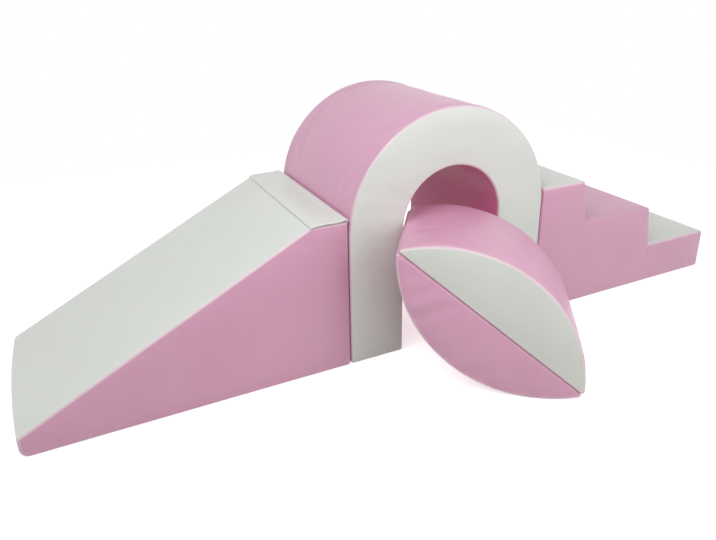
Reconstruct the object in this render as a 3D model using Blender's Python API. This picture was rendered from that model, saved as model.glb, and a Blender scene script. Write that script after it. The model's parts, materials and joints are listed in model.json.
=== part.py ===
"""A soft play foam climber: a slide, an arch with a tunnel, three steps and a rocker of two half moons.

X runs along the set from the slide's nose to the lowest step, Y runs away from whoever looks at it
and Z is up. Every module is a block of foam in a sewn cover. A cover is cut into panels, and each
panel rolls over the soft edge of the block and stops at its seam, so that one outline and one edge
section make the foam and all the panels round it.
"""

import math
from collections import namedtuple

import bmesh
import bpy
from mathutils import Matrix, Vector

# The covers and their edges, in metres
COVER_THICK = 0.0015
CLEARANCE = 0.0003
EDGE_RADIUS = 0.005
CORNER_RADIUS = 0.007
FACE_CROWN = 0.004
CROWN_MARGIN = 0.012
TOP_CROWN = 0.004

# The arch and its tunnel
DEPTH = 0.475
ARCH_WIDTH = 0.60
ARCH_HEIGHT = 0.65
TUNNEL_WIDTH = 0.297

# The slide
SLIDE_LENGTH = 0.772
SLIDE_HEIGHT = 0.40
LANDING_LENGTH = 0.097
NOSE_HEIGHT = 0.05
NOSE_FOOT_RADIUS = 0.02
NOSE_BULGE = 0.01

# The flap that folds back over the landing
FLAP_REACH = 0.094
FLAP_THICK = 0.004
FLAP_PROUD = 0.004

# The steps, from the top one down
TREAD_LENGTHS = (0.158, 0.29, 0.283)
STEP_RISE = 0.13
RISER_LEAN = 0.02

# The two half moons, which lie flat to flat and lean in the mouth of the tunnel
MOON_LENGTH = 0.575
MOON_PAIR_HEIGHT = 0.298
MOON_DEPTH = 0.298
MOON_TIP_RADIUS = 0.006
MOON_TILT_DEG = 38.0
MOON_YAW_DEG = -35.2
MOON_OUT = 0.182

# Hook and loop strips
STRIP_THICK = 0.0012
STRIP_WIDTH = 0.05
STRIP_CORNER = 0.006
WALL_STRIP_LENGTH = 0.24
WALL_STRIP_INSET = 0.10
LANDING_STRIP_LENGTH = 0.40
MOON_STRIP_LENGTH = 0.20
MOON_STRIP_SPACING = 0.24

# How finely the round forms are divided
ROLL_STEPS = 2
CORNER_STEPS = 2
ARCH_STEPS = 28
TUNNEL_STEPS = 18
TILT_STEPS = 8
STRIP_CORNER_STEPS = 2
FLAP_ROLL_STEPS = 10
FLAP_END_STEPS = 4
SWELL_SHARES = (0.15, 0.5, 0.85)
SPAN_SHARES = (0.2, 0.5, 0.8)
SMOOTH_LIMIT_DEG = 32.0

# Two faces that are held together by a hook strip on a loop strip stand this far apart
STRIP_GAP = 2 * STRIP_THICK + 3 * CLEARANCE

# Half of the open seam, as a turn round the soft edge
SEAM_TURN = CLEARANCE / (2 * (EDGE_RADIUS - COVER_THICK))

# Linear colours of the materials, with their roughness
WHITE_VINYL = ((0.79, 0.80, 0.77), 0.42)
PINK_VINYL = ((0.73, 0.37, 0.53), 0.42)
FOAM = ((0.86, 0.83, 0.70), 0.95)
HOOK_TAPE = ((0.80, 0.80, 0.80), 0.80)
LOOP_TAPE = ((0.76, 0.76, 0.76), 0.90)

# One point of an outline. at and out give its place and its outward normal on the finished edge,
# corner and miter do the same for a face whose corner isn't rounded, and crown is the panel's swell.
Spot = namedtuple("Spot", "at out corner miter crown")
Station = namedtuple("Station", "kind value far")
Corner = namedtuple("Corner", "x z radius crown")


def heading(angle):
    """The unit vector of an outline at this angle from its first axis."""
    return Vector((math.cos(angle), math.sin(angle)))


def evenly(start, end, steps):
    """Values from start to end in equal steps, with both ends."""
    return [start + (end - start) * i / steps for i in range(steps + 1)]


def swell(share):
    """How much of its full crown a panel has, this share of the way across."""
    return 4 * share * (1 - share)


def plain_spot(at, out, crown=0.0):
    return Spot(at, out, at, out, crown)


def soft_corner(centre, radius, start, end, crown=0.0):
    """The spots round an outward corner. The middle one carries the seam of two panels."""
    middle = (start + end) / 2
    miter = heading(middle) / math.cos((end - start) / 2)
    corner = centre + radius * miter
    return [
        Spot(centre + radius * heading(angle), heading(angle), corner, miter, crown)
        for angle in evenly(start, end, CORNER_STEPS)
    ]


def inner_corner(at, before, after):
    """The one spot of an inward corner, such as where a riser stands on a tread."""
    miter = (before + after) / (1 + before.dot(after))
    return [plain_spot(at, miter)]


def straight_side(start, end, out, crown):
    """Spots along a straight side, which needs them only where its panel swells."""
    if not crown:
        return []
    return [plain_spot(start.lerp(end, share), out, crown * swell(share)) for share in SWELL_SHARES]


def polygon_outline(corners, crowns):
    """Corners and sides of a block with straight sides, anticlockwise as the near face shows them."""
    points = [Vector((corner.x, corner.z)) for corner in corners]
    following = points[1:] + points[:1]
    outs = []
    for point, nxt in zip(points, following):
        along = (nxt - point).normalized()
        outs.append(Vector((along.y, -along.x)))
    rounds = []
    for i, (corner, point) in enumerate(zip(corners, points)):
        before, after = outs[i - 1], outs[i]
        if corner.radius == 0:
            rounds.append(inner_corner(point, before, after))
            continue
        start = math.atan2(before.y, before.x)
        turn = math.atan2(before.cross(after), before.dot(after))
        centre = point - corner.radius * (before + after) / (1 + before.dot(after))
        rounds.append(soft_corner(centre, corner.radius, start, start + turn, corner.crown))
    sides = [
        straight_side(before[-1].at, after[0].at, out, crown)
        for before, after, out, crown in zip(rounds, rounds[1:] + rounds[:1], outs, crowns)
    ]
    return rounds, sides


def ring_spots(rounds, sides):
    """Every spot of an outline, once round."""
    return [spot for corner, side in zip(rounds, sides) for spot in corner + side]


def drawn_back(end, neighbour):
    """An end spot moved towards its neighbour by half of the open seam."""
    along = (neighbour.at - end.at).normalized()
    return end._replace(at=end.at + along * CLEARANCE / 2 * end.out.length)


def panel_spots(rounds, sides, index):
    """The spots of one panel, from seam to seam."""
    before = rounds[index]
    after = rounds[(index + 1) % len(rounds)]
    spots = before[len(before) // 2 :] + sides[index] + after[: len(after) // 2 + 1]
    return [drawn_back(spots[0], spots[1])] + spots[1:-1] + [drawn_back(spots[-1], spots[-2])]


def place(spot, station, under, depth):
    """Where a spot lies at one station across the depth, this far under the outer face of the cover."""
    if station.kind == "face":
        at = spot.corner - (EDGE_RADIUS + CROWN_MARGIN) * spot.miter
        y = under - FACE_CROWN
    elif station.kind == "roll":
        reach = EDGE_RADIUS - under
        at = spot.at - (EDGE_RADIUS - reach * math.sin(station.value)) * spot.out
        y = EDGE_RADIUS - reach * math.cos(station.value)
    else:
        at = spot.at - (under - spot.crown * swell(station.value)) * spot.out
        y = EDGE_RADIUS + station.value * (depth - 2 * EDGE_RADIUS)
    return Vector((at.x, depth - y if station.far else y, at.y))


def rolls(start, end, steps, far):
    return [Station("roll", angle, far) for angle in evenly(start, end, steps)]


def across(first_angle, steps, shares):
    """The stations from one soft edge over the depth to the other."""
    near = rolls(first_angle, math.pi / 2, steps, False)
    far = rolls(math.pi / 2, first_angle, steps, True)
    return near + [Station("span", share, False) for share in shares] + far


def ring(bm, spots, station, under, depth):
    """One loop of vertices round the outline. Spots that fall together share a vertex."""
    made = {}
    loop = []
    for spot in spots:
        point = place(spot, station, under, depth).freeze()
        if point not in made:
            made[point] = bm.verts.new(point)
        loop.append(made[point])
    return loop


def bridge(bm, first, second, closed):
    """Faces between two rows of vertices, with a triangle where two of the four are one."""
    count = len(first)
    for i in range(count if closed else count - 1):
        j = (i + 1) % count
        face = list(dict.fromkeys([first[i], first[j], second[j], second[i]]))
        if len(face) > 2:
            bm.faces.new(face)


def cap(bm, loop):
    bm.faces.new(list(dict.fromkeys(loop)))


def material(name, finish):
    colour, roughness = finish
    made = bpy.data.materials.new(name)
    made.use_nodes = True
    made.diffuse_color = (*colour, 1.0)
    shader = made.node_tree.nodes["Principled BSDF"]
    shader.inputs["Base Color"].default_value = (*colour, 1.0)
    shader.inputs["Roughness"].default_value = roughness
    shader.inputs["Metallic"].default_value = 0.0
    return made


def piece(bm, name, parent, finish, location=Vector()):
    """Turns a closed bmesh into a named object that hangs under its body's empty."""
    bmesh.ops.recalc_face_normals(bm, faces=bm.faces)
    mesh = bpy.data.meshes.new(name)
    bm.to_mesh(mesh)
    bm.free()
    mesh.materials.append(finish)
    mesh.shade_smooth()
    mesh.set_sharp_from_angle(angle=math.radians(SMOOTH_LIMIT_DEG))
    made = bpy.data.objects.new(name, mesh)
    bpy.context.scene.collection.objects.link(made)
    made.parent = parent
    made.location = location
    return made


def foam_core(name, parent, finish, outline, depth, shares):
    """The block of foam, which fills the cover up to its inner face."""
    under = COVER_THICK + CLEARANCE
    spots = ring_spots(*outline)
    stations = across(0.0, 2 * ROLL_STEPS, shares)
    stations = [Station("face", 0.0, False)] + stations + [Station("face", 0.0, True)]
    bm = bmesh.new()
    loops = [ring(bm, spots, station, under, depth) for station in stations]
    for first, second in zip(loops, loops[1:]):
        bridge(bm, first, second, True)
    cap(bm, loops[0])
    cap(bm, loops[-1])
    return piece(bm, name, parent, finish)


def face_cover(name, parent, finish, outline, depth, far):
    """The panel over a near or far face, crowned and drawn in to the seam on its soft edge."""
    spots = ring_spots(*outline)
    stations = [Station("face", 0.0, far)] + rolls(0.0, math.pi / 4 - SEAM_TURN, ROLL_STEPS, far)
    bm = bmesh.new()
    outer = [ring(bm, spots, station, 0.0, depth) for station in stations]
    inner = [ring(bm, spots, station, COVER_THICK, depth) for station in stations]
    for loops in (outer, inner):
        cap(bm, loops[0])
        for first, second in zip(loops, loops[1:]):
            bridge(bm, first, second, True)
    bridge(bm, outer[-1], inner[-1], True)
    return piece(bm, name, parent, finish)


def wrap_cover(name, parent, finish, spots, depth, shares):
    """A panel that crosses the depth, from the seam on the near edge to the one on the far edge."""
    stations = across(math.pi / 4 + SEAM_TURN, ROLL_STEPS, shares)
    bm = bmesh.new()
    skins = [
        [ring(bm, spots, station, under, depth) for station in stations]
        for under in (0.0, COVER_THICK)
    ]
    for skin in skins:
        for first, second in zip(skin, skin[1:]):
            bridge(bm, first, second, False)
    outer, inner = skins
    for end in (0, -1):
        bridge(bm, outer[end], inner[end], False)
        bridge(bm, [row[end] for row in outer], [row[end] for row in inner], False)
    return piece(bm, name, parent, finish)


def covered_block(prefix, parent, outline, depth, shares, face_finish, panels, foam):
    """A whole block: its foam, its two face panels and the panels round it, given by name and finish."""
    foam_core(prefix + "_foam_core", parent, foam, outline, depth, shares)
    face_cover(prefix + "_near_face", parent, face_finish, outline, depth, False)
    face_cover(prefix + "_far_face", parent, face_finish, outline, depth, True)
    for index, (name, finish) in enumerate(panels):
        spots = panel_spots(*outline, index)
        wrap_cover(prefix + "_" + name, parent, finish, spots, depth, shares)


def strip(name, parent, finish, middle, out, along, length):
    """A hook or loop strip sewn on at middle, facing out, with its length along."""
    half_width = STRIP_WIDTH / 2 - STRIP_CORNER
    half_length = length / 2 - STRIP_CORNER
    bm = bmesh.new()
    rim = []
    signs = ((1, 1), (-1, 1), (-1, -1), (1, -1))
    for quarter, (side, end) in enumerate(signs):
        centre = Vector((side * half_width, end * half_length))
        start = quarter * math.pi / 2
        for angle in evenly(start, start + math.pi / 2, STRIP_CORNER_STEPS):
            point = centre + STRIP_CORNER * heading(angle)
            rim.append(bm.verts.new((point.x, point.y, 0.0)))
    plate = bmesh.ops.extrude_face_region(bm, geom=[bm.faces.new(rim)])
    raised = [item for item in plate["geom"] if isinstance(item, bmesh.types.BMVert)]
    bmesh.ops.translate(bm, verts=raised, vec=(0.0, 0.0, STRIP_THICK))
    made = piece(bm, name, parent, finish, middle + CLEARANCE * out)
    width = along.cross(out)
    made.rotation_euler = Matrix((width, along, out)).transposed().to_euler()
    return made


def empty(name, parent, location, rotation=(0.0, 0.0, 0.0)):
    made = bpy.data.objects.new(name, None)
    bpy.context.scene.collection.objects.link(made)
    made.parent = parent
    made.location = location
    made.rotation_euler = rotation
    return made


def arch_outline():
    """The arch, as a leg, the inside of the tunnel, the other leg and the outside."""
    outer = ARCH_WIDTH / 2
    inner = TUNNEL_WIDTH / 2
    middle = Vector((0.0, ARCH_HEIGHT - outer))
    turns = {
        -outer: (-math.pi, -math.pi / 2),
        -inner: (-math.pi / 2, 0.0),
        inner: (-math.pi, -math.pi / 2),
        outer: (-math.pi / 2, 0.0),
    }
    rounds = []
    for x, (start, end) in turns.items():
        inward = -1 if start == -math.pi / 2 else 1
        centre = Vector((x + inward * CORNER_RADIUS, CORNER_RADIUS))
        rounds.append(soft_corner(centre, CORNER_RADIUS, start, end))
    lining = [
        plain_spot(middle + inner * heading(angle), -heading(angle))
        for angle in evenly(math.pi, 0.0, TUNNEL_STEPS)
    ]
    wrap = [
        plain_spot(middle + outer * heading(angle), heading(angle))
        for angle in evenly(0.0, math.pi, ARCH_STEPS)
    ]
    return rounds, [[], lining, [], wrap]


def slide_outline():
    """The wedge, measured from its back face: base, back, landing, slope and nose."""
    corners = [
        Corner(-SLIDE_LENGTH, 0.0, NOSE_FOOT_RADIUS, 0.0),
        Corner(0.0, 0.0, CORNER_RADIUS, 0.0),
        Corner(0.0, SLIDE_HEIGHT, CORNER_RADIUS, 0.0),
        Corner(-LANDING_LENGTH, SLIDE_HEIGHT, CORNER_RADIUS, 0.0),
        Corner(-SLIDE_LENGTH, NOSE_HEIGHT, CORNER_RADIUS, NOSE_BULGE / 2),
    ]
    return polygon_outline(corners, (0.0, 0.0, 0.0, TOP_CROWN, NOSE_BULGE))


def steps_outline():
    """The flight, measured from its back face: base, then riser and tread up to the back."""
    corners = [Corner(0.0, 0.0, CORNER_RADIUS, 0.0)]
    nosing = sum(TREAD_LENGTHS)
    height = 0.0
    foot = nosing
    for length in reversed(TREAD_LENGTHS):
        radius = CORNER_RADIUS if height == 0.0 else 0.0
        corners.append(Corner(foot, height, radius, 0.0))
        height += STEP_RISE
        corners.append(Corner(nosing, height, CORNER_RADIUS, 0.0))
        nosing -= length
        foot = nosing + RISER_LEAN
    corners.append(Corner(0.0, height, CORNER_RADIUS, 0.0))
    crowns = (0.0,) + (0.0, TOP_CROWN) * len(TREAD_LENGTHS) + (0.0,)
    return polygon_outline(corners, crowns)


def moon_radius():
    """Radius of the curve through both tips and the top of a half moon."""
    rise = MOON_PAIR_HEIGHT / 2
    return (MOON_LENGTH**2 / 4 + rise**2) / (2 * rise)


def moon_outline():
    """A half moon, measured from the centre of its curve: the flat below, the curve above."""
    radius = moon_radius()
    flat = radius - MOON_PAIR_HEIGHT / 2 + STRIP_GAP / 2
    tip_z = flat + MOON_TIP_RADIUS
    tip_x = math.sqrt((radius - MOON_TIP_RADIUS) ** 2 - tip_z**2)
    lean = math.atan2(tip_x, tip_z)
    down = -math.pi / 2
    up = math.pi / 2
    right = soft_corner(Vector((tip_x, tip_z)), MOON_TIP_RADIUS, down, up - lean)
    left = soft_corner(Vector((-tip_x, tip_z)), MOON_TIP_RADIUS, up + lean, 2 * math.pi + down)
    step = math.radians(MOON_TILT_DEG) / TILT_STEPS
    reach = int(lean / step - 1 / 2)
    curve = [
        plain_spot(radius * heading(up + i * step), heading(up + i * step))
        for i in range(-reach, reach + 1)
    ]
    return [left, right], [[], curve]


def make_arch(root, white, pink, foam, loop):
    panels = [
        ("left_foot_cover", pink),
        ("tunnel_lining", pink),
        ("right_foot_cover", pink),
        ("outer_cover", pink),
    ]
    covered_block("arch", root, arch_outline(), DEPTH, (), white, panels, foam)
    height = (ARCH_HEIGHT - ARCH_WIDTH / 2) / 2
    for side, name in ((-1, "left"), (1, "right")):
        out = Vector((side, 0.0, 0.0))
        for y, where in ((WALL_STRIP_INSET, "near"), (DEPTH - WALL_STRIP_INSET, "far")):
            middle = Vector((side * ARCH_WIDTH / 2, y, height))
            label = f"arch_{name}_{where}_loop_strip"
            strip(label, root, loop, middle, out, Vector((0.0, 0.0, 1.0)), WALL_STRIP_LENGTH)


def wall_hooks(prefix, body, finish, side):
    """The two hook strips of a module's back face, which meet the arch's loop strips."""
    out = Vector((side, 0.0, 0.0))
    height = (ARCH_HEIGHT - ARCH_WIDTH / 2) / 2
    for y, where in ((WALL_STRIP_INSET, "near"), (DEPTH - WALL_STRIP_INSET, "far")):
        middle = Vector((0.0, y, height))
        label = f"{prefix}_{where}_hook_strip"
        strip(label, body, finish, middle, out, Vector((0.0, 0.0, 1.0)), WALL_STRIP_LENGTH)


def make_slide(root, white, pink, foam, hook, loop):
    body = empty("slide_body", root, (-ARCH_WIDTH / 2 - STRIP_GAP, 0.0, 0.0))
    panels = [
        ("base_cover", pink),
        ("back_cover", pink),
        ("landing_cover", white),
        ("slope_cover", white),
        ("nose_cover", white),
    ]
    covered_block("slide", body, slide_outline(), DEPTH, SPAN_SHARES, pink, panels, foam)
    wall_hooks("slide", body, hook, 1)
    middle = Vector((-LANDING_LENGTH / 2, DEPTH / 2, SLIDE_HEIGHT))
    up = Vector((0.0, 0.0, 1.0))
    away = Vector((0.0, 1.0, 0.0))
    strip("landing_loop_strip", body, loop, middle, up, away, LANDING_STRIP_LENGTH)
    make_flap(body, white, hook)
    return body


def make_flap(slide, white, hook):
    """The flap, whose rolled end turns on the back edge of the landing."""
    roll = (STRIP_GAP + FLAP_THICK - CLEARANCE) / 2
    hinge = empty("flap_hinge", slide, (-roll, 0.0, SLIDE_HEIGHT + CLEARANCE + roll))
    under = roll - FLAP_THICK
    points = []
    start = math.asin(under / roll)
    for angle in evenly(math.pi - start, 5 * math.pi / 2, FLAP_ROLL_STEPS):
        points.append(roll * heading(angle))
    half = FLAP_THICK / 2
    end = Vector((-FLAP_REACH + half, under + half))
    for angle in evenly(math.pi / 2, 3 * math.pi / 2, FLAP_END_STEPS):
        points.append(end + half * heading(angle))
    bm = bmesh.new()
    rim = [bm.verts.new((point.x, -FLAP_PROUD, point.y)) for point in points]
    sheet = bmesh.ops.extrude_face_region(bm, geom=[bm.faces.new(rim)])
    moved = [item for item in sheet["geom"] if isinstance(item, bmesh.types.BMVert)]
    bmesh.ops.translate(bm, verts=moved, vec=(0.0, DEPTH + 2 * FLAP_PROUD, 0.0))
    piece(bm, "connecting_flap", hinge, white)
    middle = Vector((-LANDING_LENGTH / 2 + roll, DEPTH / 2, under))
    down = Vector((0.0, 0.0, -1.0))
    away = Vector((0.0, 1.0, 0.0))
    strip("flap_hook_strip", hinge, hook, middle, down, away, LANDING_STRIP_LENGTH)


def make_steps(root, white, pink, foam, hook):
    body = empty("steps_body", root, (ARCH_WIDTH / 2 + STRIP_GAP, 0.0, 0.0))
    panels = [
        ("base_cover", pink),
        ("low_riser_cover", pink),
        ("low_tread_cover", white),
        ("middle_riser_cover", pink),
        ("middle_tread_cover", pink),
        ("top_riser_cover", pink),
        ("top_tread_cover", white),
        ("back_cover", pink),
    ]
    covered_block("steps", body, steps_outline(), DEPTH, SPAN_SHARES, pink, panels, foam)
    wall_hooks("steps", body, hook, -1)
    return body


def make_half_moon(prefix, body, face_finish, pink, foam, tape, tape_name):
    panels = [("flat_cover", pink), ("curved_cover", pink)]
    covered_block(prefix, body, moon_outline(), MOON_DEPTH, (), face_finish, panels, foam)
    flat = moon_radius() - MOON_PAIR_HEIGHT / 2 + STRIP_GAP / 2
    down = Vector((0.0, 0.0, -1.0))
    away = Vector((0.0, 1.0, 0.0))
    for side, where in ((-1, "left"), (1, "right")):
        middle = Vector((side * MOON_STRIP_SPACING / 2, MOON_DEPTH / 2, flat))
        label = f"{prefix}_{where}_{tape_name}_strip"
        strip(label, body, tape, middle, down, away, MOON_STRIP_LENGTH)


def make_rocker(root, white, pink, foam, hook, loop):
    """The pair of half moons, leaning on the inner front corner of the arch's left leg."""
    radius = moon_radius()
    yaw = math.radians(MOON_YAW_DEG)
    tilt = math.radians(MOON_TILT_DEG)
    along = Vector((math.cos(yaw), math.sin(yaw), 0.0))
    away = Vector((-along.y, along.x, 0.0))
    edge = Vector((-TUNNEL_WIDTH / 2 - EDGE_RADIUS, EDGE_RADIUS, 0.0)) + EDGE_RADIUS * along
    centre = edge + (radius + CLEARANCE) * along - MOON_OUT * away
    centre.z = radius
    lower = empty("lower_half_moon_body", root, centre, (0.0, tilt + math.pi, yaw))
    rise = 2 * radius - MOON_PAIR_HEIGHT
    upper = empty("upper_half_moon_body", lower, (0.0, 0.0, rise), (0.0, math.pi, 0.0))
    make_half_moon("lower_half_moon", lower, pink, pink, foam, loop, "loop")
    make_half_moon("upper_half_moon", upper, white, pink, foam, hook, "hook")
    return lower, upper


def stand_on_origin(root):
    """Puts the middle of the whole set's footprint on the origin."""
    bpy.context.view_layer.update()
    points = [
        made.matrix_world @ vertex.co
        for made in bpy.context.scene.objects
        if made.type == "MESH"
        for vertex in made.data.vertices
    ]
    low = [min(point[axis] for point in points) for axis in range(3)]
    high = [max(point[axis] for point in points) for axis in range(3)]
    root.location = (-(low[0] + high[0]) / 2, -(low[1] + high[1]) / 2, -low[2])
    bpy.context.view_layer.update()
    print("size", [round(b - a, 4) for a, b in zip(low, high)], "lowest", round(low[2], 5))


def clear_scene():
    for old in list(bpy.data.objects):
        bpy.data.objects.remove(old, do_unlink=True)


def main():
    clear_scene()
    white = material("white_vinyl", WHITE_VINYL)
    pink = material("pink_vinyl", PINK_VINYL)
    foam = material("foam", FOAM)
    hook = material("hook_tape", HOOK_TAPE)
    loop = material("loop_tape", LOOP_TAPE)
    root = empty("climber", None, (0.0, 0.0, 0.0))
    make_arch(root, white, pink, foam, loop)
    slide = make_slide(root, white, pink, foam, hook, loop)
    steps = make_steps(root, white, pink, foam, hook)
    lower, upper = make_rocker(root, white, pink, foam, hook, loop)
    stand_on_origin(root)
    for body in (root, slide, bpy.data.objects["flap_hinge"], steps, lower, upper):
        spot = [round(value, 5) for value in body.matrix_world.translation]
        print(body.name, "at", spot, "its Z", [round(v, 5) for v in body.matrix_world.col[2][:3]])
    print("rocker axis", [round(v, 5) for v in lower.matrix_world.col[1][:3]])


main()
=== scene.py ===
# %% [markdown]
# # A soft play climbing set
# The real set is five blocks of foam, each in a sewn cover of artificial leather: a slide, an arch
# with a tunnel, three steps and two half moons that lie flat to flat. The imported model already
# holds every piece, at the size that the set is estimated to have. Here we give the pieces their
# finished look, and never move them.

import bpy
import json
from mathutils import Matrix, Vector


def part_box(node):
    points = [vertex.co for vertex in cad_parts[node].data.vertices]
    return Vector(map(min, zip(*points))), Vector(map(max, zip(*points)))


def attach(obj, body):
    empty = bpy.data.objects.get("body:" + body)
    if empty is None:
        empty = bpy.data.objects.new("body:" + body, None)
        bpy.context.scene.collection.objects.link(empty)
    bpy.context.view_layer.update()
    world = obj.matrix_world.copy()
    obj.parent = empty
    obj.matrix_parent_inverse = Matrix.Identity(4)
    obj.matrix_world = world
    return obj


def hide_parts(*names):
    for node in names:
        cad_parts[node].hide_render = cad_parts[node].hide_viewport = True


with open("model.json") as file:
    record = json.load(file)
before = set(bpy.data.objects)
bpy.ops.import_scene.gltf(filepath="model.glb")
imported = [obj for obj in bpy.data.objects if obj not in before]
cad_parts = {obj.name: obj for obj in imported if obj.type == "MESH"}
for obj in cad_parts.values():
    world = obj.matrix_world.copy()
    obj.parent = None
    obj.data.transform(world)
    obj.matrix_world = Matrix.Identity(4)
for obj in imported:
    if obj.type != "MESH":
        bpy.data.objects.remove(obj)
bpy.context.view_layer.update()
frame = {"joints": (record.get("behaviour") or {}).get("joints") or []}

# %% [markdown]
# ## The sizes
# Each block is a flat outline carried over a depth, so a handful of lengths describe the whole set.
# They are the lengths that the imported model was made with. All are in metres.

# %% Sizes
import json
import math
from collections import namedtuple

import bpy
from mathutils import Matrix, Vector, geometry, kdtree, noise
from mathutils.bvhtree import BVHTree

COVER_THICK = 0.0015
CLEARANCE = 0.0003
EDGE_RADIUS = 0.005
CORNER_RADIUS = 0.007

DEPTH = 0.475
ARCH_WIDTH = 0.60
ARCH_HEIGHT = 0.65
TUNNEL_WIDTH = 0.297

SLIDE_LENGTH = 0.772
SLIDE_HEIGHT = 0.40
LANDING_LENGTH = 0.097
NOSE_HEIGHT = 0.05
NOSE_FOOT_RADIUS = 0.02
NOSE_BULGE = 0.01

FLAP_REACH = 0.094
FLAP_THICK = 0.004
FLAP_PROUD = 0.004

TREAD_LENGTHS = (0.158, 0.29, 0.283)
STEP_RISE = 0.13
RISER_LEAN = 0.02

MOON_PAIR_HEIGHT = 0.298
MOON_DEPTH = 0.298
MOON_TIP_RADIUS = 0.006

STRIP_THICK = 0.0012
STRIP_WIDTH = 0.05
STRIP_CORNER = 0.006
WALL_STRIP_LENGTH = 0.24
WALL_STRIP_INSET = 0.10
LANDING_STRIP_LENGTH = 0.40
MOON_STRIP_LENGTH = 0.20
MOON_STRIP_SPACING = 0.24
STRIP_GAP = 2 * STRIP_THICK + 3 * CLEARANCE

print("arch", ARCH_WIDTH, "by", ARCH_HEIGHT, "by", DEPTH)

# %% [markdown]
# ## Where the blocks stand
# Every block has a frame of its own, with X along its length and Z up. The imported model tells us
# where each one lies: the arch, the slide and the steps by the boxes of their foam, and the half
# moons by the joints that they rock and lift on.

# %% Block frames
CORE_INSET = COVER_THICK + CLEARANCE
UP = Vector((0.0, 0.0, 1.0))
JOINTS = {joint["name"]: joint for joint in frame["joints"]}

arch_low, arch_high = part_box("arch_foam_core")
ARCH_PLACE = Vector(((arch_low.x + arch_high.x) / 2, (arch_low.y + arch_high.y - DEPTH) / 2, 0.0))
SLIDE_PLACE = Vector((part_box("slide_foam_core")[1].x + CORE_INSET, ARCH_PLACE.y, 0.0))
STEPS_PLACE = Vector((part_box("steps_foam_core")[0].x - CORE_INSET, ARCH_PLACE.y, 0.0))


def frame_at(origin, away, up):
    """A frame with Y away from the near face and Z up."""
    matrix = Matrix((away.cross(up), away, up)).transposed().to_4x4()
    matrix.translation = origin
    return matrix


rock, lift = JOINTS["half_moons_rock"], JOINTS["upper_half_moon_lift"]
MOON_RADIUS = rock["pos_m"][2]
rock_axis, lift_axis = Vector(rock["axis"]).normalized(), Vector(lift["axis"]).normalized()
rock_centre = Vector(rock["pos_m"])
upper_centre = rock_centre - lift_axis * (2 * MOON_RADIUS - MOON_PAIR_HEIGHT)

ARCH_FRAME = Matrix.Translation(ARCH_PLACE)
SLIDE_FRAME = Matrix.Translation(SLIDE_PLACE)
STEPS_FRAME = Matrix.Translation(STEPS_PLACE)
LOWER_MOON_FRAME = frame_at(rock_centre, rock_axis, -lift_axis)
UPPER_MOON_FRAME = frame_at(upper_centre, rock_axis, lift_axis)
hinge = Vector(JOINTS["flap_fold"]["pos_m"])
FLAP_FRAME = Matrix.Translation(Vector((hinge.x, ARCH_PLACE.y, hinge.z)))
print("arch stands at", tuple(round(value, 4) for value in ARCH_PLACE))

# %% [markdown]
# ## The camera
# A camera is a place, a direction and a focal length. These were solved for together with the
# proportions of the blocks, until straight edges and arcs fell close to where the photograph has
# them. It doesn't tell the scale, which is an estimate. The focal length is kept in pixels of the
# 716 by 540 frame, and so is the point that the lens looks straight at.

# %% Camera
FRAME_WIDTH_PX = 716
FRAME_HEIGHT_PX = 540
FOCAL_PX = 655.0
CENTRE_X_PX = 380
CENTRE_Y_PX = 230
SENSOR_MM = 36.0
CAMERA_FROM_ARCH = Vector((-0.9193, -1.3367, 0.9558))
CAMERA_AZIMUTH_DEG = 27.729
CAMERA_ELEVATION_DEG = 21.442
CAMERA_ROLL_DEG = -0.137


def camera_axes(azimuth, elevation, roll):
    """Right, up and backward of a camera that looks this way."""
    ahead = Vector((math.sin(azimuth), math.cos(azimuth), 0.0)) * math.cos(elevation)
    ahead.z = -math.sin(elevation)
    right = Vector((math.cos(azimuth), -math.sin(azimuth), 0.0))
    above = right.cross(ahead)
    turned = math.cos(roll) * right + math.sin(roll) * above
    return turned, -math.sin(roll) * right + math.cos(roll) * above, -ahead


def link_object(name, data):
    made = bpy.data.objects.new(name, data)
    bpy.context.scene.collection.objects.link(made)
    return made


def make_camera():
    data = bpy.data.cameras.new("camera")
    data.sensor_fit = "HORIZONTAL"
    data.sensor_width = SENSOR_MM
    data.lens = FOCAL_PX / FRAME_WIDTH_PX * SENSOR_MM
    data.shift_x = (FRAME_WIDTH_PX / 2 - CENTRE_X_PX) / FRAME_WIDTH_PX
    data.shift_y = (CENTRE_Y_PX - FRAME_HEIGHT_PX / 2) / FRAME_WIDTH_PX
    camera = link_object("camera", data)
    angles = (CAMERA_AZIMUTH_DEG, CAMERA_ELEVATION_DEG, CAMERA_ROLL_DEG)
    axes = camera_axes(*(math.radians(angle) for angle in angles))
    camera.matrix_world = Matrix(axes).transposed().to_4x4()
    camera.location = ARCH_PLACE + CAMERA_FROM_ARCH
    bpy.context.scene.camera = camera
    return camera


camera = make_camera()
print("lens", round(camera.data.lens, 2), "mm")

# %% [markdown]
# ## Shader maths that reads like maths
# A material in Blender is a graph of nodes, and a graph soon gets hard to read. So one small class
# stands for a socket and takes part in sums: writing `1 - mask * 0.5` adds the Math nodes for us.
# Every other node comes from one method, which sets the node's options first and its sockets next.

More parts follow.
